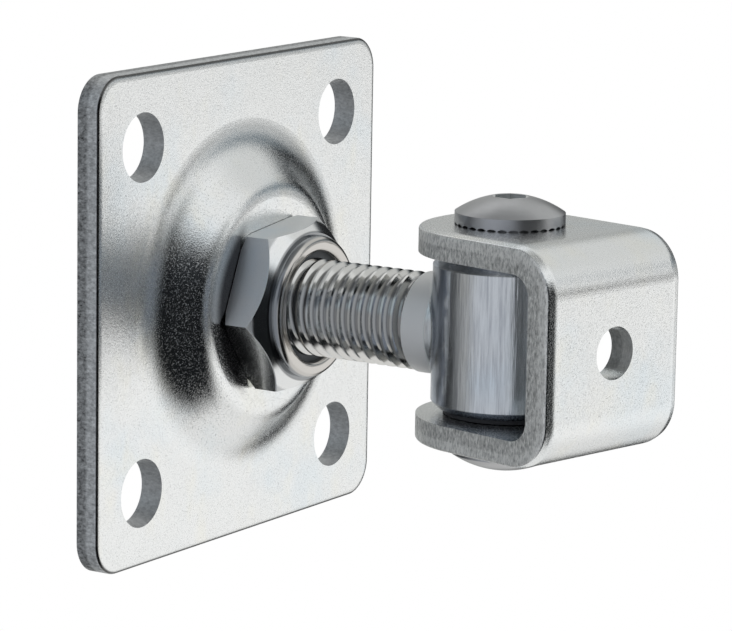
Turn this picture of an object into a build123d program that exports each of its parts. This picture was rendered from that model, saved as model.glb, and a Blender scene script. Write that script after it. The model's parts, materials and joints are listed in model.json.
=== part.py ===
from build123d import *
from math import atan2, cos, radians, sin, tan
import os

os.makedirs("parts", exist_ok=True)

# Frame: X runs out of the post along the stud, Z runs up the pivot, X = 0 is the back of the wall plate.

# Wall plate: one pressed sheet with four screw holes and a domed seat for the adjusting nut
plate_side = 100.0
plate_thickness = 5.0
plate_corner_radius = 7.0
screw_hole_spacing = 70.0
screw_hole_diameter = 14.0
dome_height = 7.85
dome_top_diameter = 47.6
dome_base_diameter = 65.2
dome_top_radius = 6.0
dome_foot_radius = 12.0
dome_land = 1.0

# Sheet edges: shearing leaves a shallow roll round the outer skin of the plate and the clevis
plate_roll_width = 1.0
plate_roll_depth = 0.28
clevis_roll_width = 2.0
clevis_roll_depth = 0.55
roll_blend_radius = 3.0
roll_nose_radius = 0.7
edge_tolerance = 0.01

# Adjusting nut: hexagon, turned collar that holds the lock ring, and a spigot through the plate
stud_diameter = 19.8
thread_clearance = 0.1
running_gap = 0.15
nut_across_flats = 32.2
nut_vertex_angle = 6.5
nut_corner_length = 5.8
nut_shoulder_length = 8.9
nut_back_chamfer = 0.6
collar_diameter = 29.2
collar_length = 2.1
collar_mouth_diameter = 22.8
collar_outer_round = 1.4
collar_inner_round = 0.9
shoulder_step = 0.5
lock_ring_diameter = 25.8
lock_ring_length = 3.0
lock_ring_depth = 1.6
spigot_diameter = 26.0
spigot_neck_diameter = 23.6
swaged_lip_diameter = 27.0
swaged_lip_length = 1.5
washer_diameter = 37.0
washer_thickness = 2.5

# Eye bolt: threaded stud and eye forged in one piece
stud_tail_inset = 2.0
stud_tail_chamfer = 1.5
neck_start = 50.0
neck_diameter = 20.4
neck_blend_radius = 1.2
eye_distance = 68.6
eye_diameter = 30.0
eye_chamfer = 1.5

# Clevis: a flat strip bent into a U, shown turned about the pivot
clevis_turn = -12.8
clevis_width = 38.0
ear_nose_offset = 1.5
clevis_thickness = 5.5
clevis_height = 43.5
clevis_reach = 28.4
clevis_bend_radius = 9.7
web_hole_diameter = 10.5

# Pivot: a pin tapped at both ends, two flanged bushes in the eye, and a domed screw at each end
pin_diameter = 16.0
pin_clearance = 0.05
pin_end_inset = 0.25
pin_chamfer = 0.6
bush_wall = 2.0
bush_length = 12.0
bush_flange_diameter = 25.0
bush_flange_thickness = 1.0
screw_diameter = 10.0
screw_length = 14.0
screw_clearance = 0.05
tapped_depth = 17.0
head_diameter = 21.9
head_rim = 2.4
head_height = 5.45
head_flat_diameter = 7.6
head_dome_radius = 19.7
socket_across_flats = 6.0
socket_depth = 3.4
serration_count = 32
serration_width = 2.0
serration_depth = 0.4
serration_length = 2.5

# Places that follow from the sizes above
seat_x = plate_thickness + dome_height
nut_x = seat_x + running_gap
nut_corner_x = nut_x + nut_corner_length
nut_shoulder_x = nut_x + nut_shoulder_length
collar_x = nut_shoulder_x + collar_length
ring_front_x = collar_x - lock_ring_depth
ring_back_x = ring_front_x - lock_ring_length
washer_front_x = dome_height - running_gap
washer_back_x = washer_front_x - washer_thickness
lip_back_x = washer_back_x - swaged_lip_length
nut_corner_radius = nut_across_flats / 2 / cos(radians(30))
stud_radius = stud_diameter / 2
thread_bore_radius = stud_radius + thread_clearance
spigot_hole_radius = spigot_diameter / 2 + running_gap
ear_gap = clevis_height - 2 * clevis_thickness
eye_height = ear_gap - 2 * (bush_flange_thickness + running_gap)
bush_bore_radius = pin_diameter / 2 + pin_clearance
bush_radius = bush_bore_radius + bush_wall
serration_radius = (serration_width**2 / 4 + serration_depth**2) / (2 * serration_depth)
plate_shoulder_x = plate_thickness - plate_roll_depth
ear_shoulder_z = clevis_height / 2 - clevis_roll_depth
pivot_axis = Axis((eye_distance, 0, 0), (0, 0, 1))
pivot_section = Plane(origin=(eye_distance, 0, 0), x_dir=(1, 0, 0), z_dir=(0, -1, 0))
reach_direction = (cos(radians(clevis_turn)), sin(radians(clevis_turn)), 0)
width_direction = (-sin(radians(clevis_turn)), cos(radians(clevis_turn)), 0)

# Dome section: the front line and the same line set back by the sheet's thickness
dome_top = dome_top_diameter / 2
dome_base = dome_base_diameter / 2
dome_slope = atan2(dome_height, dome_base - dome_top)
dome_setback = plate_thickness * tan(dome_slope / 2)
dome_join = dome_base + dome_foot_radius * tan(dome_slope / 2) + dome_land

with BuildPart() as wall_plate:
    with BuildSketch(Plane.YZ):
        RectangleRounded(plate_side, plate_side, plate_corner_radius)
        Circle(dome_join, mode=Mode.SUBTRACT)
    extrude(amount=plate_thickness)
    plate_front = wall_plate.faces().sort_by(Axis.X)[-1]
    chamfer(plate_front.outer_wire().edges(), plate_roll_width, plate_roll_depth, reference=plate_front)
    fillet(wall_plate.faces().sort_by(Axis.X)[-1].outer_wire().edges(), roll_blend_radius)
    plate_shoulder = wall_plate.edges().filter_by_position(
        Axis.X, plate_shoulder_x - edge_tolerance, plate_shoulder_x + edge_tolerance
    )
    fillet(plate_shoulder, roll_nose_radius)
    with BuildSketch(Plane.XY):
        with BuildLine():
            FilletPolyline(
                (seat_x, spigot_hole_radius),
                (seat_x, dome_top),
                (plate_thickness, dome_base),
                (plate_thickness, dome_join),
                radius=[dome_top_radius, dome_foot_radius],
            )
            Line((plate_thickness, dome_join), (0, dome_join))
            FilletPolyline(
                (0, dome_join),
                (0, dome_base - dome_setback),
                (dome_height, dome_top - dome_setback),
                (dome_height, spigot_hole_radius),
                radius=[dome_foot_radius + plate_thickness, dome_top_radius - plate_thickness],
            )
            Line((dome_height, spigot_hole_radius), (seat_x, spigot_hole_radius))
        make_face()
    revolve(axis=Axis.X)
    with BuildSketch(Plane.YZ):
        with GridLocations(screw_hole_spacing, screw_hole_spacing, 2, 2):
            Circle(screw_hole_diameter / 2)
    extrude(amount=plate_thickness, mode=Mode.SUBTRACT)
wall_plate.part.label = "wall_plate"
export_step(wall_plate.part, "parts/wall_plate.step")

with BuildPart() as adjusting_nut:
    with BuildSketch(Plane.XY):
        with BuildLine():
            Polyline(
                (lip_back_x, thread_bore_radius),
                (lip_back_x, swaged_lip_diameter / 2),
                (washer_back_x, swaged_lip_diameter / 2),
                (washer_back_x, spigot_neck_diameter / 2),
                (washer_front_x, spigot_neck_diameter / 2),
                (washer_front_x, spigot_diameter / 2),
                (nut_x, spigot_diameter / 2),
                (nut_x, nut_corner_radius - 2 * nut_back_chamfer),
                (nut_x + nut_back_chamfer, nut_corner_radius),
                (nut_corner_x, nut_corner_radius),
                (nut_shoulder_x, collar_diameter / 2 + shoulder_step),
                (nut_shoulder_x, collar_diameter / 2),
                (collar_x, collar_diameter / 2),
                (collar_x, collar_mouth_diameter / 2),
                (ring_front_x, collar_mouth_diameter / 2),
                (ring_front_x, lock_ring_diameter / 2),
                (ring_back_x, lock_ring_diameter / 2),
                (ring_back_x, thread_bore_radius),
                close=True,
            )
        make_face()
    revolve(axis=Axis.X)
    with BuildSketch(Plane.YZ.offset(nut_x)):
        Circle(2 * nut_corner_radius)
        RegularPolygon(nut_across_flats / 2, 6, major_radius=False, rotation=nut_vertex_angle,
                       mode=Mode.SUBTRACT)
    extrude(amount=nut_shoulder_length, mode=Mode.SUBTRACT)
    collar_front = adjusting_nut.faces().sort_by(Axis.X)[-1]
    fillet(collar_front.outer_wire().edges(), collar_outer_round)
    collar_front = adjusting_nut.faces().sort_by(Axis.X)[-1]
    fillet(collar_front.inner_wires().edges(), collar_inner_round)
adjusting_nut.part.label = "adjusting_nut"
export_step(adjusting_nut.part, "parts/adjusting_nut.step")

with BuildPart() as lock_ring:
    with BuildSketch(Plane.YZ.offset(ring_back_x)):
        Circle(lock_ring_diameter / 2)
        Circle(thread_bore_radius, mode=Mode.SUBTRACT)
    extrude(amount=lock_ring_length)
lock_ring.part.label = "lock_ring"
export_step(lock_ring.part, "parts/lock_ring.step")

with BuildPart() as retaining_washer:
    with BuildSketch(Plane.YZ.offset(washer_back_x)):
        Circle(washer_diameter / 2)
        Circle(spigot_neck_diameter / 2, mode=Mode.SUBTRACT)
    extrude(amount=washer_thickness)
retaining_washer.part.label = "retaining_washer"
export_step(retaining_washer.part, "parts/retaining_washer.step")

with BuildPart() as eye_bolt:
    with BuildSketch(Plane.XY.offset(-eye_height / 2)):
        with Locations((eye_distance, 0)):
            Circle(eye_diameter / 2)
    extrude(amount=eye_height)
    chamfer(eye_bolt.edges().filter_by(GeomType.CIRCLE), eye_chamfer)
    with BuildSketch(Plane.YZ.offset(neck_start)):
        Circle(neck_diameter / 2)
    extrude(amount=eye_distance - neck_start)
    eye_seam = eye_bolt.edges().filter_by(GeomType.BSPLINE)
    fillet(eye_seam, neck_blend_radius)
    with BuildSketch(Plane.YZ.offset(stud_tail_inset)):
        Circle(stud_radius)
    extrude(amount=neck_start - stud_tail_inset)
    chamfer(eye_bolt.edges().sort_by(Axis.X)[0], stud_tail_chamfer)
    with Locations((eye_distance, 0, 0)):
        Cylinder(bush_radius, eye_height, mode=Mode.SUBTRACT)
eye_bolt.part.label = "eye_bolt"
export_step(eye_bolt.part, "parts/eye_bolt.step")

for name, side in (("upper_bush", 1), ("lower_bush", -1)):
    with BuildPart() as bush:
        with BuildSketch(pivot_section):
            with BuildLine():
                Polyline(
                    (bush_bore_radius, side * (eye_height / 2 + bush_flange_thickness)),
                    (bush_flange_diameter / 2, side * (eye_height / 2 + bush_flange_thickness)),
                    (bush_flange_diameter / 2, side * eye_height / 2),
                    (bush_radius, side * eye_height / 2),
                    (bush_radius, side * (eye_height / 2 - bush_length)),
                    (bush_bore_radius, side * (eye_height / 2 - bush_length)),
                    close=True,
                )
            make_face()
        revolve(axis=pivot_axis)
    bush.part.label = name
    export_step(bush.part, f"parts/{name}.step")

# Clevis: the strip's side view is bent to a U, then its ears are rounded about the pivot in plan
side_plane = Plane(
    origin=(eye_distance, 0, 0),
    x_dir=reach_direction,
    z_dir=(-width_direction[0], -width_direction[1], 0),
)
plan_plane = Plane(origin=(eye_distance, 0, -clevis_height / 2), x_dir=reach_direction, z_dir=(0, 0, 1))
web_plane = Plane(origin=(eye_distance, 0, 0), x_dir=width_direction, z_dir=reach_direction)
ear_end = ear_nose_offset - clevis_width / 2

with BuildPart() as clevis:
    with BuildSketch(side_plane):
        with BuildLine():
            strip = FilletPolyline(
                (ear_end, clevis_height / 2),
                (clevis_reach, clevis_height / 2),
                (clevis_reach, -clevis_height / 2),
                (ear_end, -clevis_height / 2),
                radius=clevis_bend_radius,
            )
            offset(strip, -clevis_thickness, side=Side.RIGHT, closed=True)
        make_face()
    extrude(amount=clevis_width / 2, both=True)
    with BuildSketch(plan_plane):
        with Locations((ear_nose_offset, 0)):
            Circle(clevis_width / 2)
            Rectangle(clevis_reach, clevis_width, align=(Align.MIN, Align.CENTER))
    extrude(amount=clevis_height, mode=Mode.INTERSECT)
    # The roll runs on from the upper ear's nose all round the rim, because the rim has no corners
    ear_skin = clevis.faces().sort_by(Axis.Z)[-1]
    chamfer(ear_skin.edges().filter_by(GeomType.CIRCLE), clevis_roll_width, clevis_roll_depth, reference=ear_skin)
    ear_skin = clevis.faces().sort_by(Axis.Z)[-1]
    fillet(ear_skin.edges().filter_by(GeomType.CIRCLE), roll_blend_radius)
    ear_shoulder = clevis.edges().filter_by(GeomType.CIRCLE).filter_by_position(
        Axis.Z, ear_shoulder_z - edge_tolerance, ear_shoulder_z + edge_tolerance
    )
    fillet(ear_shoulder, roll_nose_radius)
    with BuildSketch(plan_plane):
        Circle(pin_diameter / 2 + pin_clearance)
    extrude(amount=clevis_height, mode=Mode.SUBTRACT)
    with BuildSketch(web_plane):
        Circle(web_hole_diameter / 2)
    extrude(amount=clevis_reach, mode=Mode.SUBTRACT)
clevis.part.label = "clevis"
export_step(clevis.part, "parts/clevis.step")

with BuildPart() as pivot_pin:
    pin_half = clevis_height / 2 - pin_end_inset
    with BuildSketch(Plane.XY.offset(-pin_half)):
        with Locations((eye_distance, 0)):
            Circle(pin_diameter / 2)
    extrude(amount=2 * pin_half)
    chamfer(pivot_pin.edges().filter_by(GeomType.CIRCLE), pin_chamfer)
    for end in (-1, 1):
        with Locations((eye_distance, 0, end * (pin_half - tapped_depth / 2))):
            Cylinder(screw_diameter / 2 + screw_clearance, tapped_depth, mode=Mode.SUBTRACT)
pivot_pin.part.label = "pivot_pin"
export_step(pivot_pin.part, "parts/pivot_pin.step")

upper_seat = Plane(origin=(eye_distance, 0, clevis_height / 2))
lower_seat = Plane(origin=(eye_distance, 0, -clevis_height / 2), x_dir=(1, 0, 0), z_dir=(0, 0, -1))
for name, seat in (("upper_pivot_screw", upper_seat), ("lower_pivot_screw", lower_seat)):
    section = Plane(origin=seat.origin, x_dir=seat.x_dir, z_dir=-seat.y_dir)
    with BuildPart(seat) as pivot_screw:
        with BuildSketch(section):
            with BuildLine():
                Polyline(
                    (0, head_height),
                    (0, -screw_length),
                    (screw_diameter / 2, -screw_length),
                    (screw_diameter / 2, 0),
                    (head_diameter / 2, 0),
                    (head_diameter / 2, head_rim),
                )
                RadiusArc(
                    (head_diameter / 2, head_rim),
                    (head_flat_diameter / 2, head_height),
                    -head_dome_radius,
                )
                Line((head_flat_diameter / 2, head_height), (0, head_height))
            make_face()
        revolve(axis=pivot_axis)
        with Locations((0, 0, serration_depth - serration_radius)):
            with PolarLocations(head_diameter / 2, serration_count):
                Cylinder(serration_radius, 2 * serration_length, rotation=(0, 90, 0), mode=Mode.SUBTRACT)
        with BuildSketch(seat.offset(head_height)):
            RegularPolygon(socket_across_flats / 2, 6, major_radius=False)
        extrude(amount=-socket_depth, mode=Mode.SUBTRACT)
    pivot_screw.part.label = name
    export_step(pivot_screw.part, f"parts/{name}.step")
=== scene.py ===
# %% [markdown]
# # An adjustable gate hinge in bright zinc
#
# A square plate is bolted to a gate post. A captive nut in its domed centre winds a threaded eye bolt in and
# out, and a U-shaped clevis swings on the eye and carries the gate. The solids come from the CAD model and
# stay where they are. This lesson cuts the real thread on the stud and gives every surface its finish.

# %% Load the packed hinge
import json
import math

import bmesh
import bpy
from mathutils import Matrix, Vector


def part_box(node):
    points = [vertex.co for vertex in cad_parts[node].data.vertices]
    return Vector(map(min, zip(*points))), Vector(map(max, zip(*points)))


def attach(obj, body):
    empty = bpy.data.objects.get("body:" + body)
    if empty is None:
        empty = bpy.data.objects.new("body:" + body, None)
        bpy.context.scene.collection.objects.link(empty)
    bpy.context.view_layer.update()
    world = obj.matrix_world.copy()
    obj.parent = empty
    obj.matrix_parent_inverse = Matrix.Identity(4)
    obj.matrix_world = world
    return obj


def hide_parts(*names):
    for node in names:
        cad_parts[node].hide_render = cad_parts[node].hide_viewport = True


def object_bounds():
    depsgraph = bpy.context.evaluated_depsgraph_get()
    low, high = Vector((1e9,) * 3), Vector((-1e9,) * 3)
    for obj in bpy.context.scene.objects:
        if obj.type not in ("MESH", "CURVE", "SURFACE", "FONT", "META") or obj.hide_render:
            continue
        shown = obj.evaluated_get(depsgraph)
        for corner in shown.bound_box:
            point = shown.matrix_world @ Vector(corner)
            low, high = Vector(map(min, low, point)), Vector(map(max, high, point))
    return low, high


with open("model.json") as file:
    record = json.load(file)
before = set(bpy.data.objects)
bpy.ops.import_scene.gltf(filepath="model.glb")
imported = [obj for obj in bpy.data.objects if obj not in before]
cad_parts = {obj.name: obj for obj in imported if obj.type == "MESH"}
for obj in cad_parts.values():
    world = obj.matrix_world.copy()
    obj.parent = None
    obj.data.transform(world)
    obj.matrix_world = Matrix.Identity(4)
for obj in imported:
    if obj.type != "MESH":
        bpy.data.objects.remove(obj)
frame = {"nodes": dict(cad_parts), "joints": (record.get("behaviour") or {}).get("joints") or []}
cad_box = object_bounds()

MM = 0.001
nodes = frame["nodes"]
pivot_x = next(joint["pos_m"][0] for joint in frame["joints"] if joint["name"] == "clevis_swing")
print("CAD pieces:", ", ".join(sorted(nodes)))
print("CAD box in mm:", [round(size / MM, 1) for size in cad_box[1] - cad_box[0]])

# %% [markdown]
# ## The camera
#
# The photograph was taken with a long lens from the front left and a little above. Its direction, distance
# and focal length were worked out from the plate's corners and holes, so the camera is set from a few angles
# and lengths instead of being moved by eye.

# %% Place the camera
IMAGE_WIDTH_PX = 732
SENSOR_WIDTH_MM = 36.0
NEAR_CLIP = 0.01
focal_length_px = 3857.071
view_azimuth = math.radians(32.369)
view_elevation = math.radians(10.533)
view_roll = math.radians(0.936)
view_distance = 778.012 * MM
view_target = Vector((40.0, 0.0, 0.0)) * MM
aim_right = -3.865 * MM
aim_up = 0.088 * MM

back = Vector((
    math.sin(view_azimuth) * math.cos(view_elevation),
    -math.cos(view_azimuth) * math.cos(view_elevation),
    math.sin(view_elevation),
))
level = Vector((math.cos(view_azimuth), math.sin(view_azimuth), 0.0))
right = level * math.cos(view_roll) + back.cross(level) * math.sin(view_roll)
up = back.cross(right)

camera = bpy.data.objects.new("camera", bpy.data.cameras.new("camera"))
camera.data.sensor_width = SENSOR_WIDTH_MM
camera.data.sensor_fit = "HORIZONTAL"
camera.data.lens = focal_length_px / IMAGE_WIDTH_PX * SENSOR_WIDTH_MM
camera.data.clip_start = NEAR_CLIP
camera.matrix_world = Matrix((right, up, back)).transposed().to_4x4()
camera.location = view_target + back * view_distance + right * aim_right + up * aim_up
bpy.context.scene.collection.objects.link(camera)
bpy.context.scene.camera = camera
print("Lens in mm:", round(camera.data.lens, 1))

# %% [markdown]
# ## Shader maths as Python
#
# A node tree for zinc has dozens of Math nodes, which are hard to read as separate lines of code. This class
# wraps a node's socket, so that an expression such as `1 - mask * 0.5` adds the nodes by itself. The same
# class serves the Geometry Nodes of the thread, because a Math node works in both kinds of tree.


# %% Wrap a socket
class Wire:
    """A socket that takes part in Python arithmetic. Each operation adds one Math node."""

    def __init__(self, tree, socket=None):
        self.tree = tree
        self.socket = socket

    def node(self, kind, settings=None, inputs=None, output=0):
        """Adds a node, applies its settings, fills its inputs and returns one of its outputs."""
        made = self.tree.nodes.new(kind)
        for name, value in (settings or {}).items():
            setattr(made, name, value)
        for name, value in (inputs or {}).items():
            if isinstance(value, Wire):
                self.tree.links.new(value.socket, made.inputs[name])
            else:
                made.inputs[name].default_value = value
        return Wire(self.tree, made.outputs[output])

    def math(self, operation, *others):
        """This value and any others through one Math node."""
        return self.node("ShaderNodeMath", {"operation": operation}, dict(enumerate((self, *others))))

    def after(self, operation, first):
        """The same with another value first, for 1 - x and 1 / x."""
        return self.node("ShaderNodeMath", {"operation": operation}, {0: first, 1: self})

    def into(self, socket):
        """Links this value to a socket of another node."""
        self.tree.links.new(self.socket, socket)

    def __add__(self, other):
        return self.math("ADD", other)

    def __sub__(self, other):
        return self.math("SUBTRACT", other)

    def __rsub__(self, other):
        return self.after("SUBTRACT", other)

    def __mul__(self, other):
        return self.math("MULTIPLY", other)

    def __truediv__(self, other):
        return self.math("DIVIDE", other)

    def __rtruediv__(self, other):
        return self.after("DIVIDE", other)

    def __abs__(self):
        return self.math("ABSOLUTE")

    __radd__ = __add__
    __rmul__ = __mul__


print("Operators of a wire:", sum(name.startswith("__") for name in vars(Wire)))


# %% Helpers for masks, colours and noise
def ramp(value, low, high):
    """0 below low, 1 above high and a smooth step between them. With low above high it falls instead."""
    limits = {"Value": value, "From Min": low, "From Max": high}
    return value.node("ShaderNodeMapRange", {"interpolation_type": "SMOOTHSTEP"}, limits)


def blend(factor, first, second):
    """Mixes two colours."""
    settings = {"data_type": "RGBA", "clamp_factor": True}
    return factor.node("ShaderNodeMix", settings, {0: factor, 6: first, 7: second}, output=2)


def noise(place, size, detail=2.0, roughness=0.55):
    """Cloudy noise whose patches are about size metres across."""
    return place.node(
        "ShaderNodeTexNoise", {},
        {"Vector": place, "Scale": 1.0 / size, "Detail": detail, "Roughness": roughness},
    )


def stretch(place, scale, turn=(0.0, 0.0, 0.0), shift=(0.0, 0.0, 0.0)):
    """Scales a place along its axes, which draws noise out into streaks, then turns and shifts it."""
    return place.node(
        "ShaderNodeMapping", {},
        {"Vector": place, "Location": shift, "Rotation": turn, "Scale": scale},
    )


def parts_of(vector):
    """The three numbers of a vector."""
    return [vector.node("ShaderNodeSeparateXYZ", {}, {0: vector}, output=axis) for axis in range(3)]


def distance_of(first, second):
    """The length of the diagonal of two sides."""
    return (first * first + second * second).math("SQRT")


def past(value, limit):
    """How far a value has gone past a limit, and 0 before it."""
    return (value - limit).math("MAXIMUM", 0.0)


print("Shader maths ready")

# %% [markdown]
# ## The studio
#
# Bright metal has hardly any colour of its own: it shows the room. The photograph has dark bands on the dome,
# the nut and the eye, which suggest a pale room with dark places in it. Lamps could stand for that room, but
# a mirror shows their outlines. Here the world is painted by direction instead, with patches fitted to the
# tones of this one view. Only the camera sees plain white. The metal reflects the painted room and not the
# white backdrop, which would wash the dark bands out.

# %% Paint the world by direction
DEGREES_PER_RADIAN = 180.0 / math.pi
PURE_WHITE = (1.0, 1.0, 1.0, 1.0)
world = bpy.data.worlds.new("studio")
world.use_nodes = True
bpy.context.scene.world = world
sky = Wire(world.node_tree)
direction = sky.node("ShaderNodeTexCoord", output="Generated")
east, north, height = parts_of(direction)
azimuth = north.math("ARCTAN2", east) * DEGREES_PER_RADIAN
elevation = height.math("ARCSINE") * DEGREES_PER_RADIAN


def panel(azimuths, elevations, softness):
    """1 inside a patch of the room between two azimuths and two elevations, with soft edges."""
    middle = (azimuths[0] + azimuths[1]) / 2
    half = (azimuths[1] - azimuths[0]) / 2
    off = abs((azimuth - middle).math("WRAP", 180.0, -180.0))
    return (
        ramp(off, half + softness, half - softness)
        * ramp(elevation, elevations[0] - softness, elevations[0] + softness)
        * ramp(elevation, elevations[1] + softness, elevations[1] - softness)
    )


# Each patch has azimuths, elevations and softness in degrees, and a colour. Later ones lie over earlier ones.
ROOM_PATCHES = (
    # The wall behind the hinge: a soft light high up, a dim band under it and a plain wall to its left
    ((40.0, 115.0), (4.0, 55.0), 5.0, (0.70, 0.71, 0.70)),
    ((40.0, 108.0), (7.0, 20.5), 4.0, (0.20, 0.235, 0.26)),
    ((105.0, 185.0), (-20.0, 36.0), 6.0, (0.46, 0.47, 0.46)),
    # The dark left wall: its low end, its main part and two lighter strips in it
    ((-218.0, -114.0), (-80.0, -42.0), 6.0, (0.12, 0.128, 0.135)),
    ((-198.0, -114.0), (-50.0, 70.0), 8.0, (0.14, 0.148, 0.156)),
    ((-138.0, -112.0), (-32.0, 16.0), 6.0, (0.34, 0.35, 0.36)),
    ((-152.0, -106.0), (14.0, 48.0), 6.0, (0.40, 0.46, 0.50)),
    # The cool wall round the camera
    ((-116.0, -50.0), (-60.0, 60.0), 7.0, (0.52, 0.55, 0.60)),
    # Two thin bars level with the hinge, a grey one and a dark one
    ((46.0, 80.0), (-3.3, 2.7), 2.0, (0.33, 0.34, 0.34)),
    ((15.0, 46.0), (-3.3, 2.7), 2.0, (0.02, 0.021, 0.022)),
    # The dark gap beside the white wall, with its low end
    ((75.0, 113.0), (-34.0, 20.0), 5.0, (0.014, 0.015, 0.016)),
    ((105.0, 122.0), (-34.0, -10.0), 4.0, (0.03, 0.032, 0.034)),
    # The dark opening at the camera's right, with its upper end and soft upper edge
    ((-47.0, 14.0), (-86.0, 22.0), 7.0, (0.008, 0.009, 0.01)),
    ((-50.0, -6.0), (10.0, 33.0), 6.0, (0.02, 0.022, 0.025)),
    ((-78.0, -44.0), (10.0, 46.0), 7.0, (0.16, 0.18, 0.21)),
)
grey_wall = (0.45, 0.46, 0.45, 1.0)
white_wall = (1.0, 1.0, 0.99, 1.0)
room = blend(panel((24.0, 72.0), (-90.0, 30.0), 6.0), grey_wall, white_wall)
for low, high, tint in (
    (18.0, 34.0, (0.90, 0.91, 0.91, 1.0)),
    (50.0, 66.0, (0.34, 0.35, 0.35, 1.0)),
    (-25.0, -45.0, (0.86, 0.86, 0.85, 1.0)),
):
    room = blend(ramp(elevation, low, high), room, tint)
for azimuths, elevations, softness, tint in ROOM_PATCHES:
    room = blend(panel(azimuths, elevations, softness), room, (*tint, 1.0))
seen_directly = sky.node("ShaderNodeLightPath", output="Is Camera Ray")
backdrop = blend(seen_directly, room, PURE_WHITE)
backdrop.into(world.node_tree.nodes["Background"].inputs["Color"])
print("Studio patches:", len(ROOM_PATCHES), "nodes:", len(world.node_tree.nodes))

# %% [markdown]
# ## The floor
#
# The hinge hangs on a post, so the floor lies well below it and only a faint shadow reaches it. The floor
# turns to plain white away from the shadow, so its rim can't be seen against the white backdrop. It is hidden
# from reflections, so the metal shows the painted room below the hinge too.

# %% Lay the floor
FLOOR_SEGMENTS = 128
WHITE_UNDER_HINGE = 0.75
SHADOW_EDGE = (0.1, 0.4)
floor_drop = 200 * MM
floor_radius = 0.9
floor_mesh = bmesh.new()
bmesh.ops.create_circle(floor_mesh, cap_ends=True, segments=FLOOR_SEGMENTS, radius=floor_radius)
floor_data = bpy.data.meshes.new("floor")
floor_mesh.to_mesh(floor_data)
floor_mesh.free()
floor = bpy.data.objects.new("floor", floor_data)
floor.location = (view_target.x, 0.0, cad_box[0].z - floor_drop)
floor.visible_glossy = False
bpy.context.scene.collection.objects.link(floor)

paper = bpy.data.materials.new("floor_paper")
paper.use_nodes = True
paper.node_tree.nodes.remove(paper.node_tree.nodes["Principled BSDF"])
sheet = Wire(paper.node_tree)
spot = sheet.node("ShaderNodeTexCoord", output="Object")
distance = spot.node("ShaderNodeVectorMath", {"operation": "LENGTH"}, {0: spot}, output="Value")
white_share = WHITE_UNDER_HINGE + (1.0 - WHITE_UNDER_HINGE) * ramp(distance, *SHADOW_EDGE)
lit = sheet.node("ShaderNodeBsdfDiffuse", {}, {"Color": (0.9, 0.9, 0.9, 1.0)})
white = sheet.node("ShaderNodeEmission", {}, {"Color": PURE_WHITE, "Strength": 1.0})
paper_seen = sheet.node("ShaderNodeLightPath", output="Is Camera Ray")
mixed = sheet.node("ShaderNodeMixShader", {}, {0: white_share * paper_seen, 1: lit, 2: white})
mixed.into(paper.node_tree.nodes["Material Output"].inputs["Surface"])
floor_data.materials.append(paper)
print("Floor at z in mm:", round(floor.location.z / MM, 1))

# %% [markdown]
# ## Bright zinc
#
# All steel parts look electroplated with bright zinc. It is a pale metal with a slight blue or straw tint
# that drifts over the surface, and a fine grain that breaks up every reflection. An image could hold all
# that, but it would need unwrapping and would blur close up. Noise in the shader stays sharp, so one function
# makes the shared skin, and each part then adds its own marks.


# %% Make the zinc skin
def new_finish(name, constants):
    """A material with one Principled shader. Constants go straight on its sockets."""
    material = bpy.data.materials.new(name)
    material.use_nodes = True
    shader = material.node_tree.nodes["Principled BSDF"]
    for socket, value in constants.items():
        shader.inputs[socket].default_value = value
    return material, shader, Wire(material.node_tree)


def place_and_normal(wire):
    """Where a point lies on its piece and which way its surface faces, both in the piece's own axes."""
    return [wire.node("ShaderNodeTexCoord", output=name) for name in ("Object", "Normal")]


def zinc_colour(place, cool_share, straw_share):
    """Pale zinc with slow drifts of blue and straw tint and a fine speckle."""
    pale = (0.85, 0.86, 0.86, 1.0)
    cool = (0.77, 0.83, 0.87, 1.0)
    straw = (0.87, 0.86, 0.80, 1.0)
    speck = (0.56, 0.57, 0.58, 1.0)
    speck_share = 0.3
    cool_drift = noise(place, 18 * MM, detail=3.0)
    straw_drift = noise(stretch(place, (1.0, 1.3, 0.8), (0.9, 0.4, 1.7)), 11 * MM, detail=3.0)
    speckle = noise(place, 0.28 * MM, detail=2.0, roughness=0.7)
    colour = blend(ramp(cool_drift, 0.45, 0.75) * cool_share, pale, cool)
    colour = blend(ramp(straw_drift, 0.5, 0.78) * straw_share, colour, straw)
    return blend(ramp(speckle, 0.5, 0.8) * speck_share, colour, speck)


def bump(height, depth):
    """A height between 0 and 1 as a bump for the shader's normal."""
    return height.node("ShaderNodeBump", {}, {"Strength": 1.0, "Distance": depth, "Height": height})


def grain_bump(place, size, depth):
    """Fine crystals of the plating, or the grain of a mould."""
    return bump(noise(place, size, detail=2.0, roughness=0.7), depth)


print("Zinc skin ready")
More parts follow.
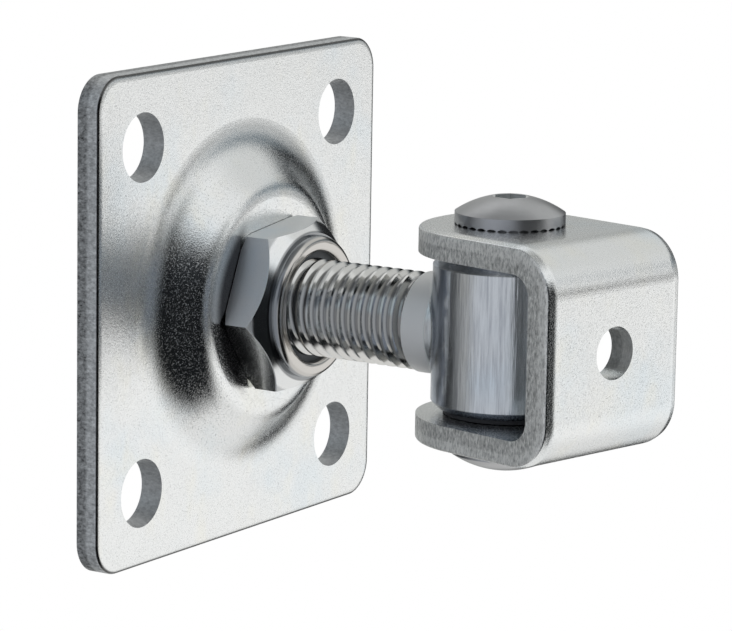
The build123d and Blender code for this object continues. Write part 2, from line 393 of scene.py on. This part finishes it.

# %% [markdown]
# ## Sheet metal
#
# The plate and the clevis are cut from sheet. A shear first cuts a smooth, burnished band and then tears the
# rest, so a cut side is rough and dull, while the faces keep the satin of the sheet with tiny pits. The sides
# could be separate material slots, but the CAD meshes have one slot each and aren't changed. Masks from place
# and normal find the sides instead. Two dark tints on the plate follow tones in the photograph. They are
# painted reflections: a patch on the dome beside the nut and a line round the rolled front edge. The sheared
# rim is a little lighter where it faces up, which is painted light.


# %% Satin sheet with sheared sides
def sheet_zinc(name, edge_of, edge_tint):
    """Plated sheet. edge_of gives the sheared sides, their lightness, the dome and any tints."""
    pit_size = 0.28 * MM
    grain_size = 0.30 * MM
    grain_depth = 0.04 * MM
    sheared_roughness = 0.5
    sheared_dullness = 0.5
    material, shader, wire = new_finish(name, {})
    place, normal = place_and_normal(wire)
    sheared, lightness, dome, tints = edge_of(place, normal)
    skin = zinc_colour(place, 0.8, 0.7)
    for mask, tint in tints:
        skin = blend(mask, skin, tint)
    side = blend(lightness, (0.0, 0.0, 0.0, 1.0), edge_tint)
    blend(sheared, skin, side).into(shader.inputs["Base Color"])
    turned_place = stretch(place, (1.0, 1.0, 1.0), (0.5, 1.1, 0.2))
    pits = ramp(noise(turned_place, pit_size, detail=2.0), 0.53, 0.64)
    clouds = noise(place, 6 * MM, detail=4.0)
    satin = 0.12 - 0.05 * dome + 0.08 * clouds + (0.20 + 0.14 * dome) * pits
    (satin + sheared * (sheared_roughness - satin)).into(shader.inputs["Roughness"])
    (1.0 - sheared_dullness * sheared).into(shader.inputs["Metallic"])
    grain_bump(place, grain_size, grain_depth).into(shader.inputs["Normal"])
    return material


print("Sheet skin ready")

# %% The plate's finish
PLATE_CORNER_RADIUS = 7 * MM
RIM_START = (45 * MM, 47 * MM)
PLATE_BURNISHED_X = (1.8 * MM, 2.7 * MM)
DOME_FOOT_RADIUS = (34 * MM, 30 * MM)
NUT_REFLECTION_RADIUS = (21.5 * MM, 18.5 * MM)
NUT_REFLECTION_Y = (-9 * MM, -13 * MM)
ROLLED_EDGE_FROM_CORNER = (6.2 * MM, 6.7 * MM)
ROLLED_EDGE_X = (3.5 * MM, 4.0 * MM)
plate_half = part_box("wall_plate")[1].y
corner_centre = plate_half - PLATE_CORNER_RADIUS


def plate_edge(place, normal):
    """The plate is sheared along X, round its rim and in its holes. Two dark tints are painted reflections.
    """
    nut_reflection_tint = (0.10, 0.10, 0.105, 1.0)
    edge_reflection_tint = (0.10, 0.10, 0.10, 1.0)
    x, y, z = parts_of(place)
    facing_x, _, facing_z = parts_of(normal)
    sheared = ramp(abs(facing_x), 0.62, 0.35)
    rim = ramp(abs(y).math("MAXIMUM", abs(z)), *RIM_START)
    grit = noise(stretch(place, (0.6, 1.0, 1.0)), 0.6 * MM, detail=4.0, roughness=0.8) - 0.5
    burnished = ramp(x, *PLATE_BURNISHED_X)
    # Painted light: the sheared rim is a little lighter where it faces up.
    upper = ramp(facing_z, 0.5, 0.9)
    rim_lightness = -0.25 + 0.30 * burnished + 0.1 * upper + 0.7 * grit
    lightness = 0.60 + 0.9 * grit + rim * rim_lightness
    radius = distance_of(y, z)
    dome = ramp(radius, *DOME_FOOT_RADIUS)
    # Painted reflection of the nut: a dark patch on the dome beside the nut, on its -Y side only.
    nut_reflection_patch = ramp(radius, *NUT_REFLECTION_RADIUS) * ramp(y, *NUT_REFLECTION_Y)
    from_corner = distance_of(past(abs(y), corner_centre), past(abs(z), corner_centre))
    # Painted reflection: a dark line round the rolled edge of the front face.
    edge_reflection_line = ramp(from_corner, *ROLLED_EDGE_FROM_CORNER) * ramp(x, *ROLLED_EDGE_X)
    tints = ((nut_reflection_patch, nut_reflection_tint), (edge_reflection_line, edge_reflection_tint))
    return sheared, lightness, dome, tints


plate_finish = sheet_zinc("plate_zinc", plate_edge, (0.99, 1.0, 1.0, 1.0))
nodes["wall_plate"].material_slots[0].material = plate_finish
print("Plate finish:", plate_finish.name, "corner centre in mm:", round(corner_centre / MM, 1))

# %% The clevis's finish
CLEVIS_TURN = math.radians(-12.8)
CLEVIS_REACH = 28.4 * MM
BEND_RADIUS = 9.7 * MM
CLEVIS_BURNISHED_DEPTH = (2.9 * MM, 2.4 * MM)
NOSE_START = (-1 * MM, -3 * MM)
WEB_START = (20 * MM, 22 * MM)
WEB_HOLE_RADIUS = (6.0 * MM, 5.6 * MM)
clevis_half_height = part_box("clevis")[1].z


def clevis_edge(place, normal):
    """The strip is sheared along its outline. The side that met the punch is burnished, the rest is torn."""
    undo_turn = (0.0, 0.0, -CLEVIS_TURN)
    undo_shift = -(Matrix.Rotation(-CLEVIS_TURN, 3, "Z") @ Vector((pivot_x, 0.0, 0.0)))
    _, facing_across, facing_up = parts_of(stretch(normal, (1.0, 1.0, 1.0), undo_turn))
    reach, across, rise = parts_of(stretch(place, (1.0, 1.0, 1.0), undo_turn, undo_shift))
    nose = ramp(abs(facing_up), 0.6, 0.4) * ramp(reach, *NOSE_START)
    sheared = (ramp(abs(facing_across), 0.55, 0.75) + nose).math("MINIMUM", 1.0)
    round_bend = distance_of(
        past(reach, CLEVIS_REACH - BEND_RADIUS),
        past(abs(rise), clevis_half_height - BEND_RADIUS),
    )
    burnished = ramp(BEND_RADIUS - round_bend, *CLEVIS_BURNISHED_DEPTH)
    grit = noise(stretch(place, (1.0, 1.0, 0.35)), 0.42 * MM, detail=3.0, roughness=0.75) - 0.5
    hole = ramp(distance_of(across, rise), *WEB_HOLE_RADIUS) * ramp(reach, *WEB_START)
    lightness = 0.68 + 0.18 * burnished + (2.0 - 1.2 * hole) * grit - 0.22 * hole
    no_dome = 0.0
    no_tints = ()
    return sheared, lightness, no_dome, no_tints


clevis_finish = sheet_zinc("clevis_zinc", clevis_edge, (1.0, 0.99, 0.95, 1.0))
nodes["clevis"].material_slots[0].material = clevis_finish
print("Clevis finish:", clevis_finish.name, "half height in mm:", round(clevis_half_height / MM, 2))

# %% [markdown]
# ## Turned parts
#
# The nut, the washer, the pin and its screws are finished like work from a lathe, which leaves fine rings
# round the axis. Noise that is drawn out across the axis gives such rings without any extra geometry. The
# photograph also has tones that plain zinc doesn't give here. They are matched by a darker collar, darker
# screw heads and a rougher skin on parts of the nut. What causes them on the real hinge isn't known.


# %% Rings of the lathe
def turned_zinc(name, axis_scale, roughness, mark_depth, tints, wear_of=None):
    """Plated turned steel. axis_scale draws the tool marks out round the axis of turning."""
    mark_size = 0.25 * MM
    worn_roughness = 0.55
    material, shader, wire = new_finish(name, {"Metallic": 1.0})
    place, normal = place_and_normal(wire)
    colour = zinc_colour(place, 0.9, 0.5)
    for mask_of, tint in tints:
        colour = blend(mask_of(place), colour, tint)
    colour.into(shader.inputs["Base Color"])
    marks = noise(stretch(place, axis_scale), mark_size, detail=2.0, roughness=0.6)
    gloss = roughness + 0.10 * (marks - 0.5)
    if wear_of:
        gloss = gloss + worn_roughness * wear_of(place, normal)
    gloss.into(shader.inputs["Roughness"])
    bump(marks, mark_depth).into(shader.inputs["Normal"])
    return material


print("Turned skin ready")

# %% The nut's finish
NUT_CORNER_RADIUS = 18.59 * MM
NUT_CORNER_X = 18.8 * MM
NUT_CONE_SLOPE = 1.126
HEXAGON_FRONT_X = (21.5 * MM, 21.0 * MM)
RUBBED_EDGE_DEPTH = (0.45 * MM, 0.15 * MM)
RUBBED_CORNER_RADIUS = (17.3 * MM, 17.9 * MM)
COLLAR_X = (21.5 * MM, 22.0 * MM)
COLLAR_SIDE_X = (21.5 * MM, 21.8 * MM)
COLLAR_SIDE_RADIUS = (14.15 * MM, 14.5 * MM)


def collar(place):
    """The nut's collar, in front of its hexagon."""
    return ramp(parts_of(place)[0], *COLLAR_X)


def collar_side(place):
    """The collar's outer side, which is darker in the photograph."""
    x, y, z = parts_of(place)
    return ramp(x, *COLLAR_SIDE_X) * ramp(distance_of(y, z), *COLLAR_SIDE_RADIUS)


def worn_hexagon(place, normal):
    """Rough front edges and corners. Dull upper sides, which stand out from their image in the dome."""
    dull_share = 0.4
    corner_share = 0.8
    x, y, z = parts_of(place)
    facing_x, _, facing_z = parts_of(normal)
    radius = distance_of(y, z)
    cone_radius = NUT_CORNER_RADIUS - (x - NUT_CORNER_X) * NUT_CONE_SLOPE
    side = ramp(abs(facing_x), 0.3, 0.1) * ramp(x, *HEXAGON_FRONT_X)
    dull_side = dull_share * ramp(facing_z, -0.2, 0.2)
    rubbed_edge = ramp(cone_radius - radius, *RUBBED_EDGE_DEPTH)
    rubbed_corner = corner_share * ramp(facing_x, 0.4, 0.6) * ramp(radius, *RUBBED_CORNER_RADIUS)
    return side * rubbed_edge.math("MAXIMUM", dull_side) + rubbed_corner


nut_tints = ((collar, (0.61, 0.59, 0.565, 1.0)), (collar_side, (0.31, 0.32, 0.33, 1.0)))
nut_finish = turned_zinc("nut_zinc", (1.0, 0.15, 0.15), 0.16, 0.004 * MM, nut_tints, worn_hexagon)
for name in ("adjusting_nut", "retaining_washer"):
    nodes[name].material_slots[0].material = nut_finish
print("Nut finish:", nut_finish.name)

# %% The finish of the pin and its screws
SOCKET_RADIUS = (3.3 * MM, 3.7 * MM)


def dulled(place):
    """A screw is darker than the plain skin, apart from the inside of its socket."""
    x, y, _ = parts_of(place)
    patches = 0.75 + 0.25 * noise(place, 4 * MM, detail=3.0)
    return ramp(distance_of(x - pivot_x, y), *SOCKET_RADIUS) * patches


screw_tints = ((dulled, (0.46, 0.46, 0.47, 1.0)),)
screw_finish = turned_zinc("screw_zinc", (0.15, 0.15, 1.0), 0.34, 0.008 * MM, screw_tints)
for name in ("pivot_pin", "upper_pivot_screw", "lower_pivot_screw"):
    nodes[name].material_slots[0].material = screw_finish
print("Screw finish:", screw_finish.name)

# %% [markdown]
# ## The forging
#
# The eye bolt is taken to be one forging with three surfaces: a thread, a dull neck, and an eye with streaks
# along its height. Painted shade darkens the thread, most of all in its valleys, and the ends of the eye
# between the clevis's ears. The photograph also shows an uneven dark zone on the eye beside the neck, which
# may be a weld or scale. It is only a tint here, with no bead in the shape. Separate materials would meet in
# hard lines, so all of this is one finish with soft masks along X.

# %% The eye bolt's finish
NECK_START = 50.0 * MM
NECK_END = 55.2 * MM
NECK_START_SOFTNESS = 0.2 * MM
NECK_END_SOFTNESS = 0.5 * MM
THREAD_VALLEY_RADIUS = (9.25 * MM, 8.9 * MM)
EYE_END_HEIGHT = (13.4 * MM, 14.0 * MM)
DARK_ZONE_FACING_X = (-0.34, -0.46)


def forged_zinc(name):
    """Plated forging: a bright rolled thread, a dull neck and an eye with streaks along its height."""
    streak_depth = 0.05 * MM
    material, shader, wire = new_finish(name, {"Metallic": 1.0})
    place, normal = place_and_normal(wire)
    x, y, z = parts_of(place)
    thread = ramp(x, NECK_START, NECK_START - NECK_START_SOFTNESS)
    after_thread = ramp(x, NECK_START - NECK_START_SOFTNESS, NECK_START)
    neck = after_thread * ramp(x, NECK_END + NECK_END_SOFTNESS, NECK_END)
    eye = ramp(x, NECK_END, NECK_END + NECK_END_SOFTNESS)
    # Painted shade in the thread's valleys, darker than the rest of the thread.
    valley = thread * ramp(distance_of(y, z), *THREAD_VALLEY_RADIUS)
    streaks = noise(stretch(place, (1.0, 1.0, 0.05)), 0.6 * MM, detail=3.0, roughness=0.65)
    # Painted shade at the ends of the eye, between it and the clevis's ears.
    eye_end_shade = eye * ramp(abs(z), *EYE_END_HEIGHT)
    uneven = 0.25 * (noise(place, 2.5 * MM, detail=3.0) - 0.5)
    dark_zone = eye * ramp(parts_of(normal)[0] + uneven, *DARK_ZONE_FACING_X)
    colour = zinc_colour(place, 0.9, 0.5)
    # The thread, its valleys and the eye's ends are tinted with painted shade.
    for mask, tint in (
        (thread * 0.8, (0.66, 0.65, 0.63, 1.0)),
        (valley, (0.42, 0.42, 0.42, 1.0)),
        (neck, (0.88, 0.88, 0.87, 1.0)),
        (eye * ramp(streaks, 0.35, 0.8), (0.52, 0.53, 0.55, 1.0)),
        (eye_end_shade * 0.7, (0.22, 0.25, 0.30, 1.0)),
        (dark_zone, (0.36, 0.39, 0.44, 1.0)),
    ):
        colour = blend(mask, colour, tint)
    colour.into(shader.inputs["Base Color"])
    (0.12 + 0.48 * neck + 0.14 * eye * streaks).into(shader.inputs["Roughness"])
    bump(streaks * eye, streak_depth).into(shader.inputs["Normal"])
    return material


bolt_finish = forged_zinc("bolt_zinc")
print("Forged finish:", bolt_finish.name)

# %% [markdown]
# ## Polymer
#
# The lock ring in the nut and the bushes in the eye can't be made out in the photograph, so their material is
# assumed: a dark engineering plastic, as such rings and bushes often are. It is matt and faintly cloudy, and
# a plain shader with soft noise is enough for that.


# %% Polymer for the lock ring and the bushes
def moulded_polymer(name, colour):
    """Dark engineering plastic with a faint moulded grain."""
    cloud_gain = 1.4
    grain_size = 0.3 * MM
    grain_depth = 0.006 * MM
    material, shader, wire = new_finish(name, {"Metallic": 0.0})
    place = wire.node("ShaderNodeTexCoord", output="Object")
    cloud = noise(place, 2 * MM, detail=3.0)
    light = [channel * cloud_gain for channel in colour]
    blend(cloud, (*colour, 1.0), (*light, 1.0)).into(shader.inputs["Base Color"])
    (0.45 + 0.2 * cloud).into(shader.inputs["Roughness"])
    grain_bump(place, grain_size, grain_depth).into(shader.inputs["Normal"])
    return material


lock_finish = moulded_polymer("lock_polymer", (0.13, 0.14, 0.15))
bush_finish = moulded_polymer("bush_polymer", (0.03, 0.03, 0.033))
nodes["lock_ring"].material_slots[0].material = lock_finish
for name in ("upper_bush", "lower_bush"):
    nodes[name].material_slots[0].material = bush_finish
print("Polymer finishes:", lock_finish.name, bush_finish.name)

# %% [markdown]
# ## The thread
#
# The stud is taken to have a coarse M20 thread, which is usually rolled between dies. A thread follows a
# rule, so Geometry Nodes build it: a flat grid is rolled into a tube, its rows are slanted to follow the
# helix, and each row's radius comes from its place in the pitch. A screw modifier could sweep a profile too,
# but here the lead-in and both ends come from the same rule.

# %% Build the thread tree
CREST_SHARE = 0.2
ROOT_SHARE = 0.8
RELIEF_SOFTNESS = 0.4 * MM
SEAM_DISTANCE = 0.004 * MM


def thread_tree():
    """Geometry Nodes for a right-hand external thread along X, closed at both ends."""
    tree = bpy.data.node_groups.new("rolled_thread", "GeometryNodeTree")
    for name in ("Crest Radius", "Pitch", "Depth", "Start", "End", "Lead-in", "Relief"):
        tree.interface.new_socket(name, in_out="INPUT", socket_type="NodeSocketFloat")
    for name in ("Rows", "Segments"):
        tree.interface.new_socket(name, in_out="INPUT", socket_type="NodeSocketInt")
    tree.interface.new_socket("Finish", in_out="INPUT", socket_type="NodeSocketMaterial")
    tree.interface.new_socket("Geometry", in_out="OUTPUT", socket_type="NodeSocketGeometry")
    wire = Wire(tree)
    given = tree.nodes.new("NodeGroupInput")
    sizes = {socket.name: Wire(tree, socket) for socket in given.outputs if socket.name}
    pitch, start, end = sizes["Pitch"], sizes["Start"], sizes["End"]

    grid = wire.node(
        "GeometryNodeMeshGrid", {},
        {"Size X": 1.0, "Size Y": 1.0, "Vertices X": sizes["Rows"], "Vertices Y": sizes["Segments"] + 1},
    )
    across, round_share, _ = parts_of(wire.node("GeometryNodeInputPosition"))
    along = across + 0.5
    turn = round_share + 0.5
    slanted = start - pitch + along * (end - start + pitch) + turn * pitch
    x = slanted.math("MAXIMUM", start).math("MINIMUM", end)
    phase = (x / pitch - turn).math("FRACT")
    from_crest = abs(phase - 0.5) * 2.0
    flank = {"Value": from_crest, "From Min": CREST_SHARE, "From Max": ROOT_SHARE}
    valley = wire.node("ShaderNodeMapRange", {"interpolation_type": "LINEAR"}, flank)
    relief = ramp(x, end - sizes["Relief"] - RELIEF_SOFTNESS, end - sizes["Relief"])
    radius = sizes["Crest Radius"] - sizes["Depth"] * valley.math("MAXIMUM", relief)
    lead = sizes["Crest Radius"] - sizes["Lead-in"] + (x - start)
    radius = radius.math("MINIMUM", lead)
    half_row = 0.5 / sizes["Rows"]
    inside = along.math("GREATER_THAN", half_row) * along.math("LESS_THAN", 1.0 - half_row)
    radius = radius * inside
    angle = turn * (2 * math.pi)
    point = wire.node(
        "ShaderNodeCombineXYZ", {},
        {"X": x, "Y": radius * angle.math("COSINE"), "Z": radius * angle.math("SINE")},
    )
    rolled = wire.node("GeometryNodeSetPosition", {}, {"Geometry": grid, "Position": point})
    closed = wire.node("GeometryNodeMergeByDistance", {}, {"Geometry": rolled, "Distance": SEAM_DISTANCE})
    outward = wire.node("GeometryNodeFlipFaces", {}, {"Mesh": closed})
    smooth = wire.node("GeometryNodeSetShadeSmooth", {}, {"Geometry": outward})
    real = wire.node("GeometryNodeRealizeInstances", {}, {"Geometry": smooth})
    coated = wire.node("GeometryNodeSetMaterial", {}, {"Geometry": real, "Material": sizes["Finish"]})
    result = tree.nodes.new("NodeGroupOutput")
    coated.into(result.inputs["Geometry"])
    return tree


rolled_thread = thread_tree()
print("Thread tree nodes:", len(rolled_thread.nodes))


# %% Roll the thread
def evaluate_tree(name, tree, values):
    """Runs a tree on an empty mesh and returns the result as a plain mesh."""
    carrier = bpy.data.objects.new(name, bpy.data.meshes.new(name))
    bpy.context.scene.collection.objects.link(carrier)
    modifier = carrier.modifiers.new(name, "NODES")
    modifier.node_group = tree
    for item in tree.interface.items_tree:
        if item.in_out == "INPUT":
            modifier[item.identifier] = values[item.name]
    graph = bpy.context.evaluated_depsgraph_get()
    mesh = bpy.data.meshes.new_from_object(carrier.evaluated_get(graph))
    carrier.modifiers.remove(modifier)
    bpy.data.objects.remove(carrier)
    return mesh


ROWS_PER_PITCH = 20
SEGMENTS = 120
STEPS_INTO_NECK = 2
thread_pitch = 2.5 * MM
stud_radius = 9.9 * MM
stud_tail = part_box("eye_bolt")[0].x
row_step = thread_pitch / ROWS_PER_PITCH
thread_steps = round((NECK_START - stud_tail) / row_step) + STEPS_INTO_NECK
thread_mesh = evaluate_tree("rolled_thread", rolled_thread, {
    "Crest Radius": stud_radius,
    "Pitch": thread_pitch,
    "Depth": 1.08 * MM,
    "Start": stud_tail,
    "End": stud_tail + thread_steps * row_step,
    "Lead-in": 1.5 * MM,
    "Relief": 1.2 * MM,
    "Rows": thread_steps + ROWS_PER_PITCH + 1,
    "Segments": SEGMENTS,
    "Finish": bolt_finish,
})
print("Thread faces:", len(thread_mesh.polygons))

# %% [markdown]
# ## The eye bolt
#
# Stud, neck and eye are taken to be one forging. The CAD eye has the right form, so a copy of it keeps the
# neck and the eye, and the new thread takes the place of its plain stud. A boolean could join the two, but it
# could disturb the shading. The copy carries the CAD model's own surface normals along, which keeps its
# fillet and chamfers smooth.


# %% Keep the neck and the eye
def keep_normals(mesh):
    """Stores a mesh's corner normals in an attribute, so that edits don't lose them."""
    stored = mesh.attributes.new("held_normal", "FLOAT_VECTOR", "CORNER")
    flat = [part for corner in mesh.corner_normals for part in corner.vector]
    stored.data.foreach_set("vector", flat)
    return mesh


CREST_ANGLE = math.radians(30.0)
NECK_TOLERANCE = 0.01 * MM
WELD_DISTANCE = 0.001 * MM
eye_mesh = keep_normals(nodes["eye_bolt"].data.copy())
forging = bmesh.new()
forging.from_mesh(eye_mesh)
neck_limit = NECK_START - NECK_TOLERANCE
plain_stud = [face for face in forging.faces if face.calc_center_median().x < neck_limit]
bmesh.ops.delete(forging, geom=plain_stud, context="FACES")
bmesh.ops.remove_doubles(forging, verts=forging.verts, dist=WELD_DISTANCE)
open_edges = [edge for edge in forging.edges if edge.is_boundary]
cap = bmesh.ops.contextual_create(forging, geom=open_edges)["faces"]
held = forging.loops.layers.float_vector["held_normal"]
for face in cap:
    face.normal_update()
    for corner in face.loops:
        corner[held] = face.normal
print("Neck and eye faces:", len(forging.faces), "cap faces:", len(cap))

# %% Join the eye and the thread
thread_mesh.set_sharp_from_angle(angle=CREST_ANGLE)
forging.from_mesh(keep_normals(thread_mesh))
for face in forging.faces:
    face.smooth = True
eye_bolt_mesh = bpy.data.meshes.new("threaded_eye_bolt")
forging.to_mesh(eye_bolt_mesh)
forging.free()
normals = [corner.vector.copy() for corner in eye_bolt_mesh.attributes["held_normal"].data]
eye_bolt_mesh.normals_split_custom_set(normals)
eye_bolt_mesh.attributes.remove(eye_bolt_mesh.attributes["held_normal"])
eye_bolt_mesh.materials.clear()
eye_bolt_mesh.materials.append(bolt_finish)
for polygon in eye_bolt_mesh.polygons:
    polygon.material_index = 0
eye_bolt = bpy.data.objects.new("threaded_eye_bolt", eye_bolt_mesh)
bpy.context.scene.collection.objects.link(eye_bolt)
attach(eye_bolt, "eye")
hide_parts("eye_bolt")
print("Eye bolt faces:", len(eye_bolt_mesh.polygons))

# %% [markdown]
# ## Finish
#
# The view settings stay plain.

# %% Keep the view plain
bpy.context.scene.view_settings.view_transform = "Standard"
